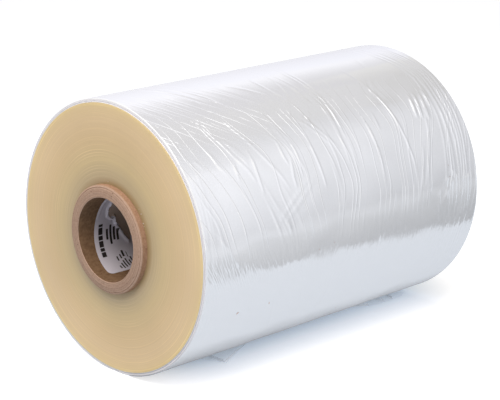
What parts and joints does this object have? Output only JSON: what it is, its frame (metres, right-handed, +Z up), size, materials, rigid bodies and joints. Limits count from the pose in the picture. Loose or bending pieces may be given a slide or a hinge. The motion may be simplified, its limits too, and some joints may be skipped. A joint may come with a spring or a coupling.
{
  "type": "roll of shrink film",
  "caption": "Wide roll of clear shrink film wound on a paperboard core, lying on its side with creased outer turns, a loose tail on the floor and a plain label inside the bore.",
  "frame": {"origin": "on the floor, under the middle of the roll", "axes": "+X along the roll, away from the labelled end; +Z up; the free tail of the film lies on the -Y side"},
  "size_m": [0.3676, 0.251, 0.2493],
  "materials": {
    "paperboard": "matt, with fine ply lines on the cut ends",
    "clear_film": "glossy clear film, silvery white over the wound side and cream on the end faces",
    "label_paper": "white coated paper, wrinkled"
  },
  "bodies": {
    "root": {"core_tube": "paperboard", "film_roll": "clear_film", "core_label": "label_paper"}
  },
  "joints": []
}
